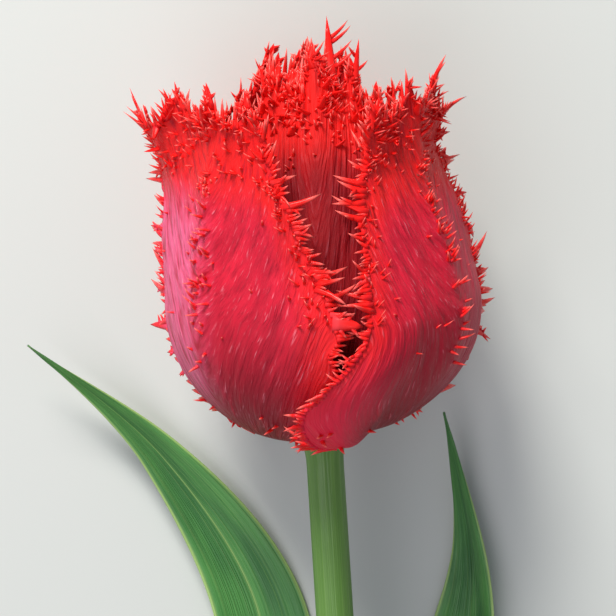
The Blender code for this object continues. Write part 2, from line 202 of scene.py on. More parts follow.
def put(tree, socket, item):
    """Links a value, a node's socket or a plain number or colour to an input."""
    if isinstance(item, Value):
        tree.links.new(item.socket, socket)
    elif isinstance(item, bpy.types.NodeSocket):
        tree.links.new(item, socket)
    elif isinstance(item, tuple) and len(item) == 3 and len(socket.default_value) == 4:
        socket.default_value = (*item, 1.0)
    else:
        socket.default_value = item


def compute(tree, operation, *items):
    node = tree.nodes.new("ShaderNodeMath")
    node.operation = operation
    for slot, item in enumerate(items):
        put(tree, node.inputs[slot], item)
    return Value(tree, node.outputs[0])


class Value:
    """A shader's number, with Python's own arithmetic."""

    def __init__(self, tree, socket):
        self.tree = tree
        self.socket = socket

    def __add__(self, other):
        return compute(self.tree, "ADD", self, other)

    def __radd__(self, other):
        return compute(self.tree, "ADD", other, self)

    def __sub__(self, other):
        return compute(self.tree, "SUBTRACT", self, other)

    def __rsub__(self, other):
        return compute(self.tree, "SUBTRACT", other, self)

    def __mul__(self, other):
        return compute(self.tree, "MULTIPLY", self, other)

    def __pow__(self, other):
        return compute(self.tree, "POWER", self, other)

    def __neg__(self):
        return compute(self.tree, "MULTIPLY", self, -1.0)

    def absolute(self):
        return compute(self.tree, "ABSOLUTE", self)

    def step(self, low, high):
        """0 below low, 1 above high, an even S between them."""
        node = self.tree.nodes.new("ShaderNodeMapRange")
        node.interpolation_type = "SMOOTHSTEP"
        put(self.tree, node.inputs["Value"], self)
        node.inputs["From Min"].default_value = low
        node.inputs["From Max"].default_value = high
        return Value(self.tree, node.outputs[0])


class Look:
    """A Principled material while it is being wired."""

    def __init__(self, name, **constants):
        self.material = bpy.data.materials.new(name)
        self.material.use_nodes = True
        self.tree = self.material.node_tree
        self.shader = self.tree.nodes["Principled BSDF"]
        for socket, value in constants.items():
            put(self.tree, self.shader.inputs[socket.replace("_", " ")], value)

    def node(self, kind, settings, inputs):
        node = self.tree.nodes.new(kind)
        for name, value in settings.items():
            setattr(node, name, value)
        for name, value in inputs.items():
            put(self.tree, node.inputs[name], value)
        return node

    def value(self, node, output=0):
        return Value(self.tree, node.outputs[output])

    def feed(self, socket, item):
        put(self.tree, self.shader.inputs[socket], item)

    def attribute(self, name):
        node = self.node("ShaderNodeAttribute", {"attribute_type": "GEOMETRY", "attribute_name": name}, {})
        return self.value(node, "Fac")

    def uv(self):
        place = self.node("ShaderNodeUVMap", {"uv_map": "UVMap"}, {})
        parts = self.node("ShaderNodeSeparateXYZ", {}, {0: place.outputs[0]})
        return self.value(parts, 0), self.value(parts, 1)

    def noise(self, x, y, z, detail=2.0):
        """Noise from -1 to 1, at a place given by three values."""
        place = self.node("ShaderNodeCombineXYZ", {}, {0: x, 1: y, 2: z})
        return self.noise_at(place.outputs[0], 1.0, detail)

    def object_noise(self, scale, detail=2.0):
        place = self.node("ShaderNodeTexCoord", {}, {})
        return self.noise_at(place.outputs["Object"], scale, detail)

    def noise_at(self, vector, scale, detail):
        node = self.node("ShaderNodeTexNoise", {}, {"Vector": vector, "Scale": scale, "Detail": detail})
        return self.value(node, 0) * 2.0 - 1.0

    def mix(self, share, first, second):
        node = self.node("ShaderNodeMix", {"data_type": "RGBA"}, {0: share, 6: first, 7: second})
        return node.outputs[2]

    def bump(self, height, distance):
        node = self.node("ShaderNodeBump", {}, {"Height": height, "Distance": distance, "Strength": 1.0})
        self.feed("Normal", node.outputs[0])


def tepal_look(name, body, deep, slope, scarlet_from, sheen_side=1.0, sheen_strength=0.0, glint=0.48, rolled_highlight=0.0):
    """Satin petal tissue: fanned veins, a painted lilac sheen, scarlet margins, painted shade low down,
    painted highlight marks along the veins, and a scarlet fringe with painted highlights at its tips.

    slope is how steeply the veins fan, scarlet_from where on the height the top's scarlet starts, sheen_side
    -1 or 1 for the side that carries the painted sheen, sheen_strength how strong it is, glint how strong the
    painted highlight marks along the veins are, and rolled_highlight how bright the painted highlight on the
    rolled margin at the lower left is.
    """
    look = Look(name, Specular_IOR_Level=0.22)
    u, v = look.uv()
    across = u * 2.0 - 1.0
    side = across.absolute()
    seed = look.attribute("seed")
    fringe = look.attribute("fringe")
    sway = look.noise(across * 3.0, v * 4.0, seed + 3.0)
    lane = (v - side**1.25 * slope) * (VEIN_SLOPE / slope) + sway * 0.02
    along = side + v * 0.4
    fine = look.noise(lane * 110.0, along * 13.0, seed, 3.0)
    streak = look.noise(lane * 38.0, along * 6.0, seed + 5.0, 3.0)
    broad = look.noise(lane * 14.0, along * 3.0, seed + 7.0)
    margin = (side.step(0.55, 1.0) * 0.8 + v.step(scarlet_from, scarlet_from + 0.24)).step(0.0, 1.0)
    # Painted sheen: a lilac-pink colour mixed in on one side of the tepal, halfway up, in place of a lit
    # sheen
    half = (across * sheen_side).step(-0.30, 0.32)
    sheen_flank = half * v.step(0.14, 0.30) * (1.0 - v.step(0.62, 0.88))
    # Painted shade: the lower part of each tepal is darkened towards maroon, with darker vein streaks there
    # and lighter ones between them
    foot_shade = (1.0 - (v + broad * 0.08 + streak * 0.05).step(0.12, 0.50)) * (1.0 - side.step(0.50, 0.90) * 0.8)
    colour = look.mix(broad.step(-0.6, 0.6) * 0.6, body, deep)
    colour = look.mix(margin * 0.85, colour, SCARLET)
    colour = look.mix(foot_shade * 0.80, colour, SHADE_MAROON)
    colour = look.mix((sheen_flank * (0.75 + streak * 0.8)).step(0.0, 1.0) * sheen_strength, colour, SHEEN_ROSE)
    colour = look.mix((-streak).step(0.0, 0.42) * (0.62 + foot_shade * 0.20), colour, deep)
    colour = look.mix(streak.step(0.08, 0.50) * foot_shade * 0.45, colour, body)
    # Painted highlights: short pale pink marks along the veins, stronger where the painted sheen is
    highlight_dashes = fine.step(0.12, 0.42) * streak.step(-0.2, 0.3) * (1.0 - v.step(0.7, 0.95))
    colour = look.mix(highlight_dashes * (glint + sheen_flank * sheen_strength * 0.5), colour, HIGHLIGHT_PINK)
    # Painted highlight: the rolled margin at the lower left is brightened towards a light red
    rolled = (-across).step(0.35, 0.80) * (1.0 - v.step(0.20, 0.40))
    colour = look.mix(rolled * rolled_highlight, colour, ROLLED_HIGHLIGHT_RED)
    colour = look.mix(fringe.step(0.02, 0.30) * 0.85, colour, SCARLET)
    # Painted highlight: the fringe's tips are mixed towards pale pink
    colour = look.mix(fringe.step(0.45, 1.0) * 0.60, colour, TIP_HIGHLIGHT_PINK)
    look.feed("Base Color", colour)
    look.feed("Roughness", 0.52 + streak * 0.10 - fringe.step(0.0, 0.4) * 0.26)
    look.bump(fine * (1.0 - fringe) * 0.35 + streak + broad, 0.00036)
    return look.material


def outer_look(name, scarlet_from, sheen_side, sheen_strength, rolled_highlight=0.0):
    return tepal_look(name, CRIMSON, CRIMSON_DEEP, OUTER_SLOPE, scarlet_from, sheen_side, sheen_strength, rolled_highlight=rolled_highlight)


def leaf_look(name):
    look = Look(name, Roughness=0.42)
    u, v = look.uv()
    across = u * 2.0 - 1.0
    side = across.absolute()
    lines = look.noise(across * 26.0, v * 3.0, 4.0, 3.0)
    patches = look.noise(across * 2.0, v * 9.0, 1.0)
    colour = look.mix(patches.step(-0.5, 0.6), LEAF_DARK, LEAF_GREEN)
    colour = look.mix(lines.step(0.0, 0.7) * 0.35, colour, LEAF_PALE)
    edge = side.step(0.90, 0.985)
    rib = 1.0 - side.step(0.0, 0.07)
    colour = look.mix((edge * 0.85 + rib * 0.55).step(0.0, 1.0), colour, LEAF_PALE)
    look.feed("Base Color", colour)
    look.feed("Roughness", 0.42 + lines * 0.08)
    look.bump(lines, 0.00018)
    return look.material


def stem_look(name):
    look = Look(name, Roughness=0.38)
    u, v = look.uv()
    streaks = look.noise(u * 30.0, v * 5.0, 2.0, 3.0)
    patches = look.object_noise(28.0)
    cut = look.attribute("cut")
    colour = look.mix(streaks.step(-0.3, 0.8) * 0.7, STEM_GREEN, STEM_PALE)
    colour = look.mix(patches.step(0.0, 0.8) * 0.3, colour, STEM_PALE)
    colour = look.mix(cut, colour, CUT_PALE)
    look.feed("Base Color", colour)
    look.bump(streaks, 0.00012)
    return look.material


def pistil_look(name):
    look = Look(name, Roughness=0.5)
    u, v = look.uv()
    grain = look.object_noise(1400.0, 4.0)
    colour = look.mix(v.step(0.74, 0.86), PISTIL_GREEN, STIGMA_CREAM)
    colour = look.mix(grain.step(0.0, 0.8) * 0.3, colour, PISTIL_GRAIN)
    look.feed("Base Color", colour)
    look.bump(grain * v.step(0.7, 0.9), 0.0003)
    return look.material


def stamen_look(name):
    look = Look(name, Roughness=0.75)
    u, v = look.uv()
    grain = look.object_noise(2600.0, 4.0)
    colour = look.mix(v.step(0.40, 0.48), FILAMENT_DARK, ANTHER_DARK)
    colour = look.mix(grain.step(0.1, 0.9) * 0.5, colour, POLLEN)
    look.feed("Base Color", colour)
    look.bump(grain * v.step(0.4, 0.5), 0.00025)
    return look.material


def plain_look(name, colour, roughness):
    return Look(name, Base_Color=colour, Roughness=roughness).material


# Pieces


def finish_piece(name, bm, node, material):
    """Turns a mesh into a piece that takes the place of one node."""
    mesh = bpy.data.meshes.new(name)
    bm.to_mesh(mesh)
    bm.free()
    mesh.materials.append(material)
    for face in mesh.polygons:
        face.use_smooth = True
    piece = bpy.data.objects.new(name, mesh)
    bpy.context.scene.collection.objects.link(piece)
    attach(piece, "root")
    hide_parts(node)
    return piece


def lay_uv(bm, across, along):
    """A UV map from two layers of numbers on the points."""
    uv = bm.loops.layers.uv.new("UVMap")
    for face in bm.faces:
        for loop in face.loops:
            loop[uv].uv = (0.5 + 0.5 * loop.vert[across], loop.vert[along])


class Tepal:
    """One tepal's form: a bowl from the claw outward and up, then a wall that leans and curls at the tip."""

    def __init__(self, azimuth, radius, height, floor, **more):
        self.azimuth = math.radians(azimuth)
        self.radius = radius * MM
        self.height = height * MM
        self.floor = floor * MM
        self.claw_rise = more.get("claw_rise", 3.6) * MM
        self.lean = more.get("lean", 2.0) * MM
        self.curl = more.get("curl", 3.0) * MM
        self.span_left = math.radians(more.get("span_left", 54.0))
        self.span_right = math.radians(more.get("span_right", 54.0))
        self.top_left = more.get("top_left", 0.48)
        self.top_right = more.get("top_right", 0.48)
        self.close_left = more.get("close_left", 2.3)
        self.close_right = more.get("close_right", 2.3)
        self.top_round = more.get("top_round", 5.0) * MM
        self.lean_power = more.get("lean_power", 2.0)
        self.twist = math.radians(more.get("twist", 0.0))
        self.turret = more.get("turret", 3.0) * MM
        self.turret_beat = more.get("turret_beat", 9.0)
        self.turret_phase = more.get("turret_phase", 0.0)
        self.flare_left = more.get("flare_left", 0.6) * MM
        self.flare_right = more.get("flare_right", 0.6) * MM
        self.corner_curl = more.get("corner_curl", 0.0) * MM
        self.lobe = more.get("lobe", 0.0)
        self.lobe_lift = more.get("lobe_lift", 0.0) * MM
        self.wave = more.get("wave", 0.7) * MM
        self.vein_depth = more.get("vein_depth", 0.62) * MM
        self.vein_slope = more.get("vein_slope", OUTER_SLOPE)
        self.tooth_turn = more.get("tooth_turn", 1.0)
        self.sparse_side = more.get("sparse_side", 0.0)
        self.top_teeth = more.get("top_teeth", 110)
        self.top_lobes = more.get("top_lobes", 9)
        self.spread = more.get("spread", 0.0)
        self.lobes = more.get("lobes", ())
        self.phase = more.get("phase", 0.0)
        self.seed = more.get("seed", 1)

    def profile(self, t):
        """(radius, height) of the outer face's middle line."""
        if t < BOWL_END:
            turn = 0.5 * math.pi * max(0.0, t) / BOWL_END
            radius = CLAW_RADIUS + (self.radius - CLAW_RADIUS) * math.sin(turn) ** BOWL_FULLNESS
            height = self.floor + (BOWL_HEIGHT - self.floor) * (1.0 - math.cos(turn))
            claw = max(0.0, 1.0 - t / CLAW_END)
            return radius, height + self.claw_rise * claw * claw
        x = (t - BOWL_END) / (1.0 - BOWL_END)
        eased = (math.hypot(x, LEAN_EASE) - LEAN_EASE) / (math.hypot(1.0, LEAN_EASE) - LEAN_EASE)
        radius = self.radius - self.lean * eased**self.lean_power + self.curl * x**6
        return radius, BOWL_HEIGHT + (self.height - BOWL_HEIGHT) * x

    def half_span(self, side, t):
        """Angle from the middle line to the margin."""
        widest = self.span_left if side < 0 else self.span_right
        opening = 0.40 + 0.60 * smooth(0.0, 0.20, t)
        x = max(0.0, (t - 0.42) / 0.58)
        top = self.top_left if side < 0 else self.top_right
        power = self.close_left if side < 0 else self.close_right
        closing = 1.0 - (1.0 - top) * x**power
        angle = widest * opening * closing
        if side < 0:
            angle += self.lobe * smooth(0.06, 0.15, t) * (1.0 - smooth(0.22, 0.40, t))
        return angle

    def lift(self, s, t):
        """Distance out from the profile: flared margins, waves, the keel and the rolled lobe."""
        edge = abs(s)
        flare = self.flare_left if s < 0 else self.flare_right
        grown = smooth(0.10, 0.35, t)
        out = flare * edge**2.5 * grown
        out += self.wave * edge**2 * grown * math.sin(15.0 * t + self.phase + 2.2 * s)
        out += 0.6 * self.wave * smooth(0.5, 1.0, t) * math.sin(7.0 * s + self.phase)
        out += 0.5 * MM * math.exp(-((s / 0.16) ** 2)) * grown
        if s < 0:
            along_lobe = smooth(0.06, 0.14, t) * (1.0 - smooth(0.28, 0.46, t))
            out += self.lobe_lift * smooth(0.30, 0.78, edge) * along_lobe
            out += self.corner_curl * smooth(0.35, 1.0, edge) * smooth(0.66, 0.98, t)
        return out

    def relief(self, s, t):
        """Veins that fan from the keel up to the margins, uneven in depth and course."""
        sway = noise.noise(Vector((3.0 * s, 4.0 * t, self.seed + 3.0)))
        slope = self.vein_slope
        lane = (t - slope * abs(s) ** 1.25) * VEIN_SLOPE / slope + 0.03 * sway
        along = abs(s) + 0.4 * t
        coarse = noise.noise(Vector((lane * 9.0, along * 2.5, self.seed)))
        fine = noise.noise(Vector((lane * 24.0, along * 5.0, self.seed + 9.0)))
        depth = 0.45 + 0.8 * max(0.0, noise.noise(Vector((s * 2.5, t * 3.5, self.seed + 20.0))))
        return (coarse + 0.45 * fine) * depth * self.vein_depth * smooth(0.08, 0.22, t)

    def jag(self, s, t):
        """How far the margin's own edge goes in and out between its teeth."""
        edge = max(smooth(0.86, 1.0, abs(s)), smooth(0.93, 1.0, t))
        return 1.5 * MM * edge * noise.noise(Vector((9.0 * s, 30.0 * t, self.seed + 40.0)))

    def point(self, s, t):
        radius, height = self.profile(t)
        step = 0.004
        r0, h0 = self.profile(max(0.0, t - step))
        r1, h1 = self.profile(min(1.0, t + step))
        length = math.hypot(r1 - r0, h1 - h0)
        out = self.lift(s, t) + self.relief(s, t)
        radius += out * (h1 - h0) / length
        height -= out * (r1 - r0) / length
        height -= self.top_round * s * s * smooth(0.70, 1.0, t)
        beat = 0.5 + 0.5 * math.cos(self.turret_beat * s + self.turret_phase)
        height += self.turret * beat**3 * smooth(0.84, 1.0, t)
        azimuth = self.azimuth + self.twist * t + s * self.half_span(s, t)
        jag = self.jag(s, t)
        height += jag * smooth(0.80, 1.0, t)
        azimuth += s * jag * smooth(0.1, 0.3, t) / self.radius
        place = bloom_point(azimuth, radius, height)
        place.z = max(place.z, 0.0)
        return place


TEPALS = {
    "tepal_outer_left": Tepal(
        -53.0, 34.0, 70.0, -2.6, claw_rise=3.6, lean=3.6, lean_power=1.4, curl=3.0, span_left=44.0,
        span_right=55.0, twist=8.0, top_left=0.76, top_right=0.40, close_right=0.95, top_round=0.5,
        turret=4.5, turret_beat=9.5, turret_phase=-1.2, flare_left=0.6, flare_right=0.7, corner_curl=4.4,
        sparse_side=-1.0, spread=0.6, phase=0.4, seed=11,
        lobes=(
            (-1.0, 0.26, 2.4, 0.8, -0.5, -0.6),
            (-1.0, 0.30, 2.8, 0.9, -0.3, -0.6),
            (-1.0, 0.345, 5.4, 1.3, -0.1, -0.9),
            (-1.0, 0.41, 3.2, 1.1, 0.3, -0.8),
            (-1.0, 0.47, 2.8, 1.0, 0.2, -0.8),
            (-1.0, 0.54, 3.0, 1.0, 0.0, -0.8),
            (-1.0, 0.62, 2.8, 0.9, 0.1, -0.8),
            (-1.0, 0.995, 7.4, 1.1, 1.1, -0.3),
            (-0.42, 1.0, 4.6, 1.0, 0.2),
            (0.05, 1.0, 3.4, 0.9, 0.1),
            (1.0, 0.415, 5.6, 2.0, -0.1, 0.7),
            (1.0, 0.56, 3.6, 0.9, 0.1),
        ),
    ),
    "tepal_outer_right": Tepal(
        57.0, 34.4, 72.0, -0.6, claw_rise=1.8, lean=15.0, lean_power=0.90, curl=5.2,
        span_left=42.0, span_right=40.0, top_left=0.80, top_right=0.84, top_round=3.0, turret=4.5,
        turret_beat=8.5, turret_phase=2.2, flare_left=0.9, flare_right=1.2, lobe=0.42, lobe_lift=3.8,
        sparse_side=1.0, spread=0.6, phase=2.3, seed=23,
        lobes=(
            (1.0, 0.33, 5.0, 0.9, -0.5, 0.8),
            (1.0, 0.38, 3.0, 0.9, -0.3, 0.8),
            (1.0, 0.47, 2.8, 0.8, 0.0, 0.8),
            (1.0, 0.70, 3.4, 0.8, 0.0, 0.9),
            (1.0, 0.86, 5.6, 0.8, -0.2, 1.2),
            (1.0, 0.93, 4.0, 0.8, 0.2, 1.0),
            (0.55, 1.0, 4.6, 1.0, 0.1),
            (0.15, 1.0, 4.0, 1.1, 0.1),
            (-0.98, 0.985, 4.2, 1.0, -0.1),
        ),
    ),
    "tepal_outer_back": Tepal(
        187.0, 34.0, 75.0, -2.6, claw_rise=3.6, lean=8.0, curl=1.0, span_left=48.0, span_right=48.0,
        top_left=0.58, top_right=0.58, top_round=5.0, turret=5.5, phase=4.0, seed=37,
        lobes=((0.92, 1.0, 5.4, 1.0, 0.2), (0.55, 1.0, 4.8, 1.3, 0.1), (-0.4, 1.0, 4.4, 1.3, 0.1)),
    ),
    "tepal_inner_front": Tepal(
        -3.0, 27.4, 78.0, 2.0, claw_rise=2.6, lean=10.0, lean_power=1.0, curl=-1.5, span_left=50.0,
        span_right=45.0, top_left=0.82, top_right=0.78, close_left=3.0, close_right=3.0, top_round=7.0,
        turret=5.0, turret_beat=8.0, turret_phase=0.6, tooth_turn=-1.0, top_teeth=230,
        vein_depth=0.28, vein_slope=INNER_SLOPE, phase=1.2, seed=41,
        lobes=(
            (0.30, 1.0, 14.5, 1.3, 0.0),
            (0.80, 1.0, 8.5, 1.0, 0.4, 0.30),
            (-0.55, 1.0, 4.6, 1.4, 0.2),
            (-0.97, 1.0, 6.0, 1.0, 0.3, -0.5),
        ),
    ),
    "tepal_inner_left": Tepal(
        -121.0, 28.4, 66.0, 2.0, claw_rise=2.6, lean=9.0, curl=1.0, span_left=46.0, span_right=46.0,
        top_left=0.60, top_right=0.60, turret=4.5, phase=3.1, seed=53,
    ),
    "tepal_inner_right": Tepal(
        120.0, 28.0, 69.0, 2.0, claw_rise=2.6, lean=11.0, lean_power=1.1, curl=0.8, span_left=40.0,
        span_right=46.0, top_left=0.60, top_right=0.60, turret=4.5, phase=5.0, seed=67,
    ),
}


def blade(columns, rows, place, inward, thick, edge_thin):
    """A closed sheet laid out by place(s, t) as its outer face, with s and t kept on its points."""
    bm = bmesh.new()
    across = bm.verts.layers.float.new("across")
    along = bm.verts.layers.float.new("along")
    bmesh.ops.create_grid(bm, x_segments=columns, y_segments=rows, size=1.0)
    for vert in bm.verts:
        vert[across] = vert.co.x
        vert[along] = 0.5 + 0.5 * vert.co.y
        vert.co = place(vert[across], vert[along])
    bmesh.ops.recalc_face_normals(bm, faces=bm.faces)
    agreement = 0.0
    for face in bm.faces:
        corner = face.verts[0]
        agreement += face.normal.dot(inward(corner.co, corner[along]))
    side = 1.0 if agreement > 0.0 else -1.0
    offsets = {}
    for vert in bm.verts:
        edge = max(abs(vert[across]), vert[along])
        kept_share = 1.0 - edge_thin * smooth(0.85, 1.0, edge)
        offsets[vert.co.copy().freeze()] = vert.normal * side * thick * kept_share
    grown = bmesh.ops.extrude_face_region(bm, geom=bm.faces[:], use_keep_orig=True)["geom"]
    for vert in grown:
        if isinstance(vert, bmesh.types.BMVert):
            vert.co += offsets[vert.co.copy().freeze()]
    bmesh.ops.recalc_face_normals(bm, faces=bm.faces)
    if bm.calc_volume(signed=True) < 0.0:
        bmesh.ops.reverse_faces(bm, faces=bm.faces)
    return bm, across, along


class Fringe:
    """Puts curved pointed teeth on a tepal's mesh."""

    def __init__(self, bm, form, across, along, fringe):
        self.bm = bm
        self.form = form
        self.across = across
        self.along = along
        self.fringe = fringe
        self.rng = random.Random(form.seed + 100)

    def tooth(self, root, out, bend, flat, length, width, spot, flatness=TOOTH_FLATNESS):
        """A tapered curved spike: out at its root, turned by bend towards its tip, thinner along flat."""
        rings = []
        # Scales the tooth's fringe share, which sets its scarlet, its gloss and its painted tip highlight;
        # flatter lobes get less
        tip_highlight_scale = flatness / TOOTH_FLATNESS
        for ring in range(TOOTH_RINGS):
            share = ring / TOOTH_RINGS
            centre = root + (out * share + bend * share * share) * length
            ahead = (out + bend * 2.0 * share).normalized()
            thin = (flat - ahead * flat.dot(ahead)).normalized()
            wide = ahead.cross(thin)
            radius = width * (1.0 - share) ** TOOTH_TAPER
            corners = []
            for corner in range(TOOTH_SIDES):
                angle = 2.0 * math.pi * corner / TOOTH_SIDES
                offset = wide * math.cos(angle) * radius + thin * math.sin(angle) * radius * flatness
                corners.append(self.add(centre + offset, share * tip_highlight_scale, spot))
            rings.append(corners)
        tip = self.add(root + (out + bend) * length, tip_highlight_scale, spot)
        for lower, upper in zip(rings, rings[1:]):
            for corner in range(TOOTH_SIDES):
                after = (corner + 1) % TOOTH_SIDES
                self.bm.faces.new((lower[corner], lower[after], upper[after], upper[corner]))
        for corner in range(TOOTH_SIDES):
            self.bm.faces.new((rings[-1][corner], rings[-1][(corner + 1) % TOOTH_SIDES], tip))
        self.bm.faces.new(list(reversed(rings[0])))

    def add(self, place, share, spot):
        place.z = min(max(place.z, 0.05 * MM), CAD_BOX[1][2])
        vert = self.bm.verts.new(place)
        vert[self.across] = spot[0]
        vert[self.along] = spot[1]
        vert[self.fringe] = share
        return vert

    def crowd(self, s, t):
        """0 to 1: how much the teeth at a spot are bunched and long."""
        drift = noise.noise(Vector((4.0 * s, 12.0 * t, self.form.seed)))
        return 0.5 + 0.5 * math.sin(23.0 * t + 9.0 * s + 2.0 * drift)

    def margin(self):
        """Teeth round the whole margin above the claw, in bunches that lean together."""
        form = self.form
        for s, t in self.walk():
            root = form.point(s, t)
            if to_axis(root).length < BARE_RADIUS:
                continue
            back = form.point(s * 0.93, t - 0.05 * smooth(0.80, 1.0, t))
            out = (root - back).normalized()
            radial = -to_axis(root).normalized()
            height = (root - BLOOM_BASE).dot(AXIS)
            crowd = self.crowd(s, t)
            chance = self.rng.random() ** 2.0
            length = TOOTH_LEAST + (TOOTH_MOST - TOOTH_LEAST) * chance * (0.45 + 0.75 * crowd)
            sparse = s * form.sparse_side > 0.5 and t < SPARSE_TOP
            length *= 0.85 if sparse else 0.66 + 0.34 * smooth(4.0 * MM, 40.0 * MM, height)
            lean = noise.noise(Vector((7.0 * s, 26.0 * t, form.seed + 60.0)))
            tip_lean = noise.noise(Vector((6.0 * s, 22.0 * t, form.seed + 70.0)))
            along = AXIS * (0.12 + 1.2 * lean + self.rng.uniform(-0.35, 0.35))
            lift = radial * form.tooth_turn * (0.12 + 0.9 * tip_lean + self.rng.uniform(-0.35, 0.35))
            spread = SIDEWARD * form.spread * s * (abs(s) == 1.0)
            start = (out + (along + lift) * 0.60 + spread).normalized()
            bend = (along + lift) * 0.50
            width = (0.50 + 0.16 * length / MM if sparse else 0.36 + 0.075 * length / MM) * MM
            sunk = root - start * MARGIN_ROOT * MM
            self.tooth(sunk, start, bend, radial, length + MARGIN_ROOT * MM, width, (s, t))
            if length > FORK_LEAST and self.rng.random() < FORK_CHANCE:
                fork = root + start * 0.25 * length
                swerve = AXIS * self.rng.uniform(-0.9, 0.9) + radial * self.rng.uniform(-0.3, 0.5)
                side = (out + swerve * 0.8).normalized()
                self.tooth(fork, side, swerve * 0.3, radial, 0.5 * length, 0.7 * width, (s, t))

    def outward(self, s, t):
        """A margin point with the ways straight out of the sheet's edge and away from the axis."""
        root = self.form.point(s, t)
        back = self.form.point(s * (1.0 - 0.07 * (abs(s) == 1.0)), t - 0.05 * (t == 1.0))
        return root, (root - back).normalized(), -to_axis(root).normalized()

    def lobe(self, s, t, length, width, upward, aside=0.0):
        """A broad pointed lobe of the margin that carries a few teeth of its own.

        length and width are in millimetres; upward and aside lean it along the axis and to the right.
        """
        root, out, radial = self.outward(s, t)
        length *= MM
        width *= MM
        start = (out + AXIS * upward + SIDEWARD * aside).normalized()
        across = start.cross(radial).normalized()
        bend = (AXIS * upward + radial * 0.3) * 0.25
        sunk = root - start * LOBE_ROOT * MM
        self.tooth(sunk, start, bend, radial, length + LOBE_ROOT * MM, width, (s, t), LOBE_FLATNESS)
        for _ in range(LOBE_TEETH):
            share = self.rng.uniform(0.10, 0.75)
            side = self.rng.choice((-1.0, 1.0))
            spot = root + start * length * share + across * side * width * 0.7 * (1.0 - share)
            way = (start * 0.5 + across * side + radial * self.rng.uniform(-0.3, 0.5)).normalized()
            self.tooth(spot, way, start * 0.3, radial, 0.35 * length, 0.34 * MM + 0.15 * width, (s, t))

    def lobes(self):
        """The lobes named for this tepal, and some more along its top."""
        for lobe in self.form.lobes:
            self.lobe(*lobe)
        for _ in range(self.form.top_lobes):
            upward = self.rng.uniform(-0.2, 0.5)
            s = self.rng.uniform(-0.95, 0.95)
            length = self.rng.uniform(2.4, 4.6)
            self.lobe(s, 1.0, length, self.rng.uniform(0.8, 1.5), upward)

    def walk(self):
        """(s, t) along one margin, over the top and down the other, about a tooth's step apart."""
        spots = []
        form = self.form
        for side in (-1.0, 1.0):
            t = 0.10
            while t < 1.0:
                spots.append((side, t))
                gap = (form.point(side, min(1.0, t + 0.01)) - form.point(side, t)).length / 0.01
                wide = SPARSE_STEP if side * form.sparse_side > 0.0 and t < SPARSE_TOP else TOOTH_STEP
                t += wide * self.rng.uniform(0.5, 1.5) / gap
        s = -1.0
        while s < 1.0:
            spots.append((s, 1.0))
            gap = (form.point(min(1.0, s + 0.01), 1.0) - form.point(s, 1.0)).length / 0.01
            s += TOOTH_STEP * self.rng.uniform(0.5, 1.5) / max(gap, 2.0 * MM)
        return spots

    def surface(self, count, choose, least, most, width, face=1.0, flatness=TOOTH_FLATNESS):
        """Outgrowths on the outer face, or the inner one where face is -1, at spots picked by choose()."""
        for _ in range(count):
            s, t = choose()
            root = self.form.point(s, t)
            ahead = (self.form.point(s, t + 0.01) - self.form.point(s, t - 0.01)).normalized()
            beside = (self.form.point(s + 0.01, t) - self.form.point(s - 0.01, t)).normalized()
            out = beside.cross(ahead)
            radial = -to_axis(root).normalized()
            out = out if out.dot(radial) * face > 0.0 else -out
            if root.z < 6.0 * MM and face > 0.0:
                continue
            if face < 0.0:
                root += out * TEPAL_THICK
            swerve = ahead * self.rng.uniform(-0.1, 1.1) + beside * self.rng.uniform(-0.8, 0.8)
            length = self.rng.uniform(least, most)
            start = (out + swerve * 0.6).normalized()
            length *= 1.0 - 0.5 * smooth(0.04, 0.20, 1.0 - t) * (t > 0.75)
            root -= start * SURFACE_ROOT * MM
            self.tooth(root, start, swerve * 0.35, ahead, length + SURFACE_ROOT * MM, width, (s, t), flatness)


def make_tepal(name, form, material):
    bm, across, along = blade(
        TEPAL_COLUMNS, TEPAL_ROWS, form.point, lambda place, t: to_axis(place), TEPAL_THICK, TEPAL_EDGE_THIN
    )
    fringe = bm.verts.layers.float.new("fringe")
    teeth = Fringe(bm, form, across, along, fringe)
    teeth.margin()
    teeth.lobes()
    rng = teeth.rng

    def on_keel():
        return rng.gauss(0.0, 0.06), rng.choice(KEEL_CLUMPS) + rng.gauss(0.0, 0.022)

    def anywhere():
        return rng.uniform(-0.85, 0.85), rng.uniform(0.30, 0.90)

    def by_margin():
        return rng.choice((-1, 1)) * rng.uniform(0.82, 0.985), rng.uniform(0.40, 0.98)

    def at_top():
        s = rng.uniform(-0.96, 0.96)
        reach = 0.19 + 0.20 * noise.noise(Vector((4.0 * s, form.seed, 0.0)))
        return s, 1.0 - reach * rng.random() ** 1.7

    def at_foot():
        return rng.choice((-1, 1)) * rng.uniform(0.35, 0.95), rng.uniform(0.10, 0.22)

    if "outer" in name:
        teeth.surface(KEEL_TEETH, on_keel, 1.2 * MM, OUTGROWTH_LENGTH, LARGE_TOOTH)
        teeth.surface(FACE_TEETH, anywhere, 0.8 * MM, 1.8 * MM, SMALL_TOOTH)
        teeth.surface(FOOT_TEETH, at_foot, 1.0 * MM, 2.4 * MM, LARGE_TOOTH)
    teeth.surface(MARGIN_FACE_TEETH, by_margin, 0.9 * MM, 2.6 * MM, SMALL_TOOTH)
    teeth.surface(form.top_teeth, at_top, 1.0 * MM, 3.2 * MM, SMALL_TOOTH)
    teeth.surface(form.top_teeth // 2, at_top, 0.9 * MM, 2.4 * MM, SMALL_TOOTH, face=-1.0)
    teeth.surface(form.top_teeth // 7, at_top, 2.0 * MM, 4.0 * MM, FLAP_WIDTH, flatness=LOBE_FLATNESS)
    seed = bm.verts.layers.float.new("seed")
    for vert in bm.verts:
        vert[seed] = form.seed
    lay_uv(bm, across, along)
    return finish_piece(name + "_fine", bm, name, material)


def bezier(points, t):
    """Point and direction at t on a cubic curve."""
    a, b, c, d = points
    u = 1.0 - t
    place = a * u**3 + b * (3.0 * u * u * t) + c * (3.0 * u * t * t) + d * t**3
    slope = (b - a) * (3.0 * u * u) + (c - b) * (6.0 * u * t) + (d - c) * (3.0 * t * t)
    return place, slope.normalized()


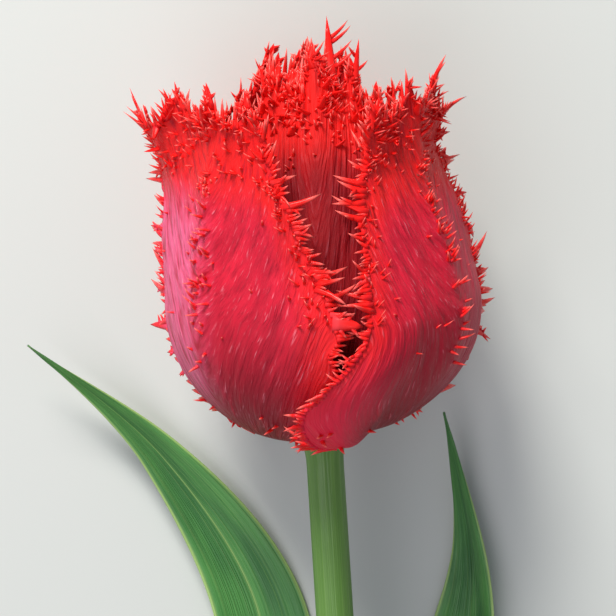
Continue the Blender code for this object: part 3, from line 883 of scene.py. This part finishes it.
def tube(stations, sides, section=None):
    """A closed round body through (centre, direction, radius) stations, with its UV laid along it."""
    bm = bmesh.new()
    across = bm.verts.layers.float.new("across")
    along = bm.verts.layers.float.new("along")
    cut = bm.verts.layers.float.new("cut")
    loops = []
    last = len(stations) - 1
    for index, (centre, direction, radius) in enumerate(stations):
        right = direction.cross(Vector((0.0, 0.0, 1.0))).normalized()
        below = direction.cross(right).normalized()
        turn = Matrix((right, below, direction)).transposed()
        ring = bmesh.ops.create_circle(bm, cap_ends=index in (0, last), radius=1.0, segments=sides)["verts"]
        for vert in ring:
            angle = math.atan2(vert.co.y, vert.co.x)
            scale = radius * (section(angle, index / last) if section else 1.0)
            vert.co = centre + turn @ Vector((math.cos(angle), math.sin(angle), 0.0)) * scale
            vert.co.z = max(vert.co.z, 0.0)
            vert[across] = 2.0 * abs(angle) / math.pi - 1.0
            vert[along] = index / last
            vert[cut] = 1.0 if index == last else 0.0
        loops.append({edge for vert in ring for edge in vert.link_edges})
    for lower, upper in zip(loops, loops[1:]):
        bmesh.ops.bridge_loops(bm, edges=list(lower) + list(upper))
    bmesh.ops.recalc_face_normals(bm, faces=bm.faces)
    lay_uv(bm, across, along)
    return bm


def stem_line():
    """The stem's middle line from the seat's top down to the cut end."""
    top = BLOOM_BASE + AXIS * SEAT_TOP
    end = Vector((STEM_END_X, -STEM_LENGTH, STEM_RADIUS_END - 0.05 * MM)) + SHIFT
    third = 0.34 * STEM_LENGTH
    leaving = Vector((STEM_END_X / STEM_LENGTH, 0.0, 0.0)) - AXIS
    return top, top + leaving * third, end + Vector((-0.05, 0.99, 0.05)) * third, end


def make_stem(material):
    line = stem_line()
    stations = []
    count = 150
    for ring in range(count):
        t = (ring / (count - 1)) ** 1.3
        centre, direction = bezier(line, t)
        down = (centre - line[0]).length
        radius = STEM_RADIUS_TOP + (STEM_RADIUS_END - STEM_RADIUS_TOP) * t
        radius += (SEAT_RADIUS - STEM_RADIUS_TOP) * (1.0 - smooth(0.75 * SEAT_FLARE, 1.5 * SEAT_FLARE, down))
        stations.append((centre, direction, radius))
    bm = tube(stations, 36)
    return finish_piece("stem_fine", bm, "stem", material)


def upright_stations(base, direction, outline):
    return [(base + direction * height, direction, radius) for height, radius in outline]


def make_pistil(material):
    base = BLOOM_BASE + AXIS * (SEAT_TOP + SEAT_GAP)
    outline = []
    count = 60
    for step in range(count):
        share = step / (count - 1)
        belly = OVARY_RADIUS * (0.80 + 0.20 * math.sin(math.pi * min(1.0, share / 0.7)))
        mouth = (STIGMA_RADIUS - OVARY_RADIUS) * smooth(0.72, 0.88, share)
        rounding = STIGMA_ROUND * smooth(0.90, 1.0, share)
        outline.append((share * PISTIL_HEIGHT, belly + (mouth - rounding)))

    def three_lobes(angle, share):
        return 1.0 + (0.05 + 0.22 * smooth(0.70, 0.90, share)) * math.cos(3.0 * angle)

    bm = tube(upright_stations(base, AXIS, outline), 48, three_lobes)
    return finish_piece("pistil_fine", bm, "pistil", material)


def make_stamen(number, material):
    azimuth = math.radians(30.0 + 360.0 / STAMEN_COUNT * number)
    out = SIDEWARD * math.sin(azimuth) + TOPWARD * math.cos(azimuth)
    base = BLOOM_BASE + AXIS * (SEAT_TOP + SEAT_GAP) + out * STAMEN_RING
    direction = (AXIS * math.cos(STAMEN_LEAN) + out * math.sin(STAMEN_LEAN)).normalized()
    base += direction * (FILAMENT_RADIUS * math.sin(STAMEN_LEAN))
    outline = []
    count = 50
    for step in range(count):
        share = step / (count - 1)
        swell = smooth(0.40, 0.50, share) * (1.0 - 0.55 * smooth(0.86, 1.0, share))
        outline.append((share * STAMEN_HEIGHT, FILAMENT_RADIUS + (ANTHER_RADIUS - FILAMENT_RADIUS) * swell))

    def two_sacs(angle, share):
        return 1.0 - 0.22 * smooth(0.42, 0.52, share) * math.cos(angle) ** 8

    bm = tube(upright_stations(base, direction, outline), 24, two_sacs)
    node = f"stamen_{number + 1}"
    return finish_piece(node + "_fine", bm, node, material)


class Leaf:
    """One leaf: a sheath round the stem that opens into a blade folded along its midrib."""

    def __init__(self, side, from_stem, way, widest, sheath, roll, fold, phase):
        self.side = side
        self.from_stem = from_stem
        self.way = [Vector(point) * MM + SHIFT for point in way]
        self.widest = widest * MM
        self.sheath = sheath
        self.roll = roll
        self.fold = fold
        self.phase = phase

    def midrib(self, t):
        """A smooth line through the way points, leaving along the stem."""
        centre, direction = bezier(stem_line(), self.from_stem)
        start = centre + Vector((self.side, 0.0, 0.0)) * SHEATH_RADIUS
        out = Vector((self.side, 0.0, 0.0))
        opening = start - direction * 22.0 * MM + out * 1.5 * MM
        clear = start - direction * 44.0 * MM + out * 6.5 * MM
        knots = [start + direction * 25.0 * MM, start, opening, clear] + self.way
        x = t * (len(knots) - 2.0001)
        index = int(x)
        p0, p1, p2 = knots[index], knots[index + 1], knots[min(index + 2, len(knots) - 1)]
        p3 = knots[min(index + 3, len(knots) - 1)]
        f = x - index
        m1 = (p2 - p0) * 0.5
        m2 = (p3 - p1) * 0.5
        return (
            p1 * (2 * f**3 - 3 * f**2 + 1) + m1 * (f**3 - 2 * f**2 + f)
            + p2 * (3 * f**2 - 2 * f**3) + m2 * (f**3 - f**2)
        )

    def frame(self, t):
        centre = self.midrib(t)
        ahead = (self.midrib(min(1.0, t + 0.01)) - self.midrib(max(0.0, t - 0.01))).normalized()
        to_stem = Vector((-self.side, 0.0, 0.0))
        opened = smooth(0.16, 0.50, t)
        face = to_stem * (1.0 - opened) + Vector((-self.side * self.roll, 0.0, 1.0)) * opened
        face = (face - ahead * face.dot(ahead)).normalized()
        return centre, face, ahead.cross(face)

    def point(self, s, t):
        """On the outer face: an arc round the stem at the sheath, a shallow fold further on."""
        centre, face, across = self.frame(t)
        opened = smooth(0.04, 0.40, t)
        taper = 1.0 - smooth(0.60, 1.01, t) ** 1.3
        blade_width = self.widest * (0.80 + 0.20 * smooth(0.20, 0.50, t)) * taper
        width = SHEATH_RADIUS * self.sheath * (1.0 - opened) + max(blade_width, LEAF_TIP) * opened
        radius = SHEATH_RADIUS * (1.0 - opened) + self.widest / BLADE_CURL * opened
        angle = s * width / radius
        wave = 0.8 * MM * math.sin(16.0 * t + self.phase) * s * s * opened
        fold = self.fold * width * abs(s) * opened
        raised = radius * (1.0 - math.cos(angle)) + wave + fold
        place = centre + across * radius * math.sin(angle) + face * raised
        place.z = max(place.z, 0.0)
        return place


LEAVES = {
    "leaf_lower": Leaf(
        -1.0, 0.74,
        [
            (-12.0, -128.0, 3.5), (-12.5, -88.0, -0.2), (-15.0, -46.0, 0.6),
            (-37.0, -10.0, 4.0), (-66.0, 16.0, 13.0),
        ],
        12.5, 1.45, 0.25, 0.08, 0.5,
    ),
    "leaf_upper": Leaf(
        1.0, 0.50, [(26.0, -84.0, 3.0), (33.5, -60.0, -0.2), (35.0, -34.0, 2.0), (27.8, 0.2, 9.0)],
        9.5, 1.45, 0.45, 0.30, 2.0,
    ),
}


def make_leaf(name, form, material):
    bm, across, along = blade(
        LEAF_COLUMNS, LEAF_ROWS, form.point, lambda place, t: form.frame(t)[1], LEAF_THICK, LEAF_TIP_THIN
    )
    lay_uv(bm, across, along)
    return finish_piece(name + "_fine", bm, name, material)


def make_floor():
    bm = bmesh.new()
    bmesh.ops.create_grid(bm, x_segments=1, y_segments=1, size=3.0)
    mesh = bpy.data.meshes.new("floor")
    bm.to_mesh(mesh)
    bm.free()
    mesh.materials.append(plain_look("pale_floor", FLOOR_GREY, 0.7))
    floor = bpy.data.objects.new("floor", mesh)
    bpy.context.scene.collection.objects.link(floor)


def add_light(name, place, aim, size, power, colour):
    light = bpy.data.lights.new(name, "AREA")
    light.size = size
    light.energy = power
    light.color = colour
    lamp = bpy.data.objects.new(name, light)
    lamp.location = place
    lamp.rotation_euler = (Vector(aim) - Vector(place)).to_track_quat("-Z", "Y").to_euler()
    bpy.context.scene.collection.objects.link(lamp)


def make_lights():
    aim = BLOOM_BASE + AXIS * 35.0 * MM
    add_light("key", aim + Vector((-0.36, 0.98, 0.72)), aim, 0.42, 21.2, (1.0, 0.97, 0.93))
    add_light("fill", aim + Vector((-0.4, -0.4, 0.9)), aim, 0.8, 3.8, (0.98, 0.95, 1.0))
    world = bpy.data.worlds.new("studio")
    bpy.context.scene.world = world
    world.use_nodes = True
    background = world.node_tree.nodes["Background"]
    background.inputs["Color"].default_value = (0.86, 0.90, 1.0, 1.0)
    background.inputs["Strength"].default_value = 0.30


def make_camera():
    """Looks down on the flower as the photo looks at it: a little from the tip's side of the bloom."""
    aim = BLOOM_BASE + AXIS * CAMERA_AIM_UP * MM + SIDEWARD * CAMERA_AIM_ASIDE * MM
    away = TOPWARD * math.cos(CAMERA_TILT) + AXIS * math.sin(CAMERA_TILT)
    data = bpy.data.cameras.new("camera")
    data.sensor_width = 36.0
    data.lens = CAMERA_LENS
    data.clip_start = 0.01
    camera = bpy.data.objects.new("camera", data)
    camera.location = aim + away * CAMERA_DISTANCE
    camera.rotation_euler = (-math.atan2(away.y, away.z), 0.0, 0.0)
    bpy.context.scene.collection.objects.link(camera)
    bpy.context.scene.camera = camera


def build():
    looks = {
        "tepal_outer_left": outer_look("outer_left_tissue", 0.66, -1.0, 0.95),
        "tepal_outer_right": outer_look("outer_right_tissue", 0.62, 1.0, 0.12, rolled_highlight=0.65),
        "tepal_outer_back": outer_look("outer_back_tissue", 0.66, 1.0, 0.12),
    }
    # Inner tepals take a darker copy of the tissue: painted shade for their place inside the bloom
    inner = tepal_look("inner_tepal_shaded_tissue", INNER_SHADED_RED, INNER_SHADED_DEEP, INNER_SLOPE, 0.70, glint=0.16)
    for name, form in TEPALS.items():
        make_tepal(name, form, looks.get(name, inner))
    make_stem(stem_look("stem_skin"))
    make_pistil(pistil_look("pistil_skin"))
    stamen = stamen_look("stamen_skin")
    for number in range(STAMEN_COUNT):
        make_stamen(number, stamen)
    leaf = leaf_look("leaf_skin")
    for name, form in LEAVES.items():
        make_leaf(name, form, leaf)
    make_floor()
    make_lights()
    make_camera()
    bpy.context.scene.view_settings.view_transform = "Standard"


build()
